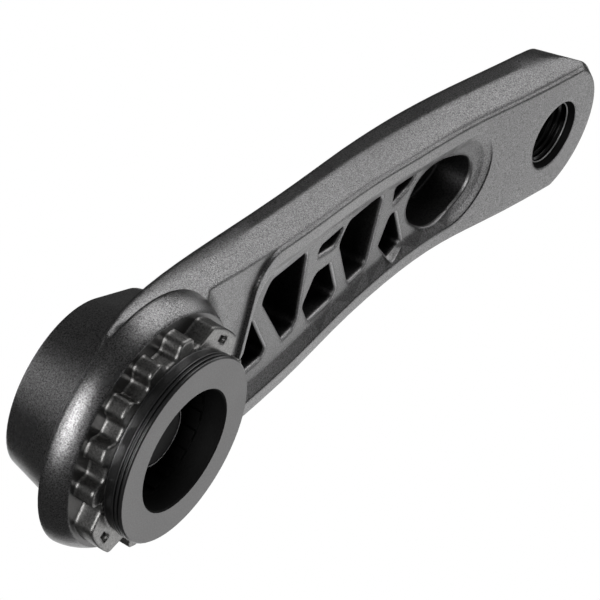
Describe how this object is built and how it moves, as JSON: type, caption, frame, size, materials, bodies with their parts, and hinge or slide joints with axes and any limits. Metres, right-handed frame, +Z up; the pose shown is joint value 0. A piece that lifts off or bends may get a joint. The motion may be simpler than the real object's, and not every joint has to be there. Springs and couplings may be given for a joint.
{
  "type": "bicycle crank arm",
  "caption": "Forged bicycle crank arm with a threaded and lobed boss for a chainring, a ribbed lightening recess on the inner face and a threaded pedal eye.",
  "frame": {"origin": "on the spindle axis, in the inboard front face of the threaded boss", "axes": "+X along the arm from the spindle axis to the pedal axis, -Y inboard towards the bicycle, where the boss opens and the chainring slides on, +Z up"},
  "size_m": [0.2139, 0.0353, 0.0546],
  "materials": {
    "arm": "fine bead-blasted black anodising, with machined faces at the boss",
    "bolt": "blackened machined steel"
  },
  "bodies": {
    "root": {"crank_arm": "arm", "crank_bolt": "bolt"}
  },
  "joints": []
}
